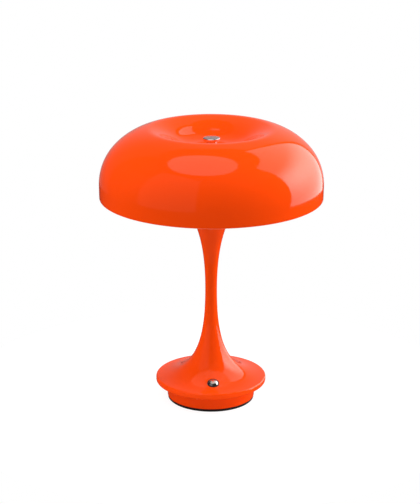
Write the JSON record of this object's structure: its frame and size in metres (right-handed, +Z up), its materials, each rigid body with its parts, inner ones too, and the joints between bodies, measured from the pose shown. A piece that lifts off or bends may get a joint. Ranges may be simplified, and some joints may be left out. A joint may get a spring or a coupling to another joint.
{
  "type": "table lamp",
  "caption": "Rechargeable table lamp: mushroom shade with a dimpled crown and screwed finial on a trumpet stand, push button on the flange, charging socket behind.",
  "frame": {"origin": "centre of the foot pad's underside", "axes": "+Z up along the stem; the push button faces -Y and the charging socket +Y"},
  "size_m": [0.25, 0.25, 0.317],
  "materials": {
    "black_rubber": "matte",
    "orange_lacquer": "gloss",
    "orange_shade": "gloss",
    "screw_steel": "satin",
    "ballast_steel": "satin",
    "tray_plastic": "matte",
    "cell_wrap": "satin",
    "nickel_strip": "satin",
    "circuit_board": "satin",
    "component_plastic": "satin",
    "port_steel": "satin",
    "button_chrome": "polished",
    "bezel_black": "satin",
    "nut_brass": "satin",
    "spring_steel": "satin",
    "post_steel": "satin",
    "sink_aluminium": "satin",
    "led_board_white": "satin",
    "led_phosphor": "satin",
    "opal": "satin",
    "washer_plastic": "satin",
    "finial_steel": "satin",
    "lead_sleeve": "satin"
  },
  "bodies": {
    "lamp": {"foot_pad": "black_rubber", "base_pan": "orange_lacquer", "base_screws": "screw_steel", "ballast": "ballast_steel", "battery_tray": "tray_plastic", "tray_screws": "screw_steel", "battery_cells": "cell_wrap", "battery_contacts": "nickel_strip", "charge_board": "circuit_board", "board_parts": "component_plastic", "board_screws": "screw_steel", "charge_port": "port_steel", "port_tongue": "component_plastic", "stand": "orange_lacquer", "button_bezel": "bezel_black", "bezel_nut": "nut_brass", "button_spring": "spring_steel", "switch_board": "circuit_board", "tact_switch": "component_plastic", "switch_screws": "screw_steel", "shade_post": "post_steel", "post_nut": "nut_brass", "heat_sink": "sink_aluminium", "led_board": "led_board_white", "leds": "led_phosphor", "led_screws": "screw_steel", "diffuser": "opal", "diffuser_nut": "nut_brass", "shade_carrier": "sink_aluminium", "shade_gasket": "black_rubber", "shade": "orange_shade", "stem_lead": "lead_sleeve", "battery_lead": "lead_sleeve", "switch_lead": "lead_sleeve"},
    "press": {"button": "button_chrome", "button_clip": "spring_steel"},
    "rising_washer": {"finial_washer": "washer_plastic"},
    "turning_finial": {"finial": "finial_steel"}
  },
  "joints": [
    {"name": "button_press", "type": "slide", "parent": "lamp", "child": "press", "axis": [0, 0.4031, -0.9151], "range_m": [0, 0.0012], "stiffness_N_per_m": 600, "springref_m": -0.002, "deforming": ["button_spring"]},
    {"name": "finial_lift", "type": "slide", "parent": "lamp", "child": "rising_washer", "axis": [0, 0, 1], "range_m": [0, 0.00501]},
    {"name": "finial_turn", "type": "hinge", "parent": "rising_washer", "child": "turning_finial", "pos_m": [0, 0, 0.3], "axis": [0, 0, 1], "range_deg": [0, 1800]}
  ],
  "couplings": [
    {"joint": "finial_lift", "follows": "finial_turn", "m_per_rad": 0.00015915}
  ]
}
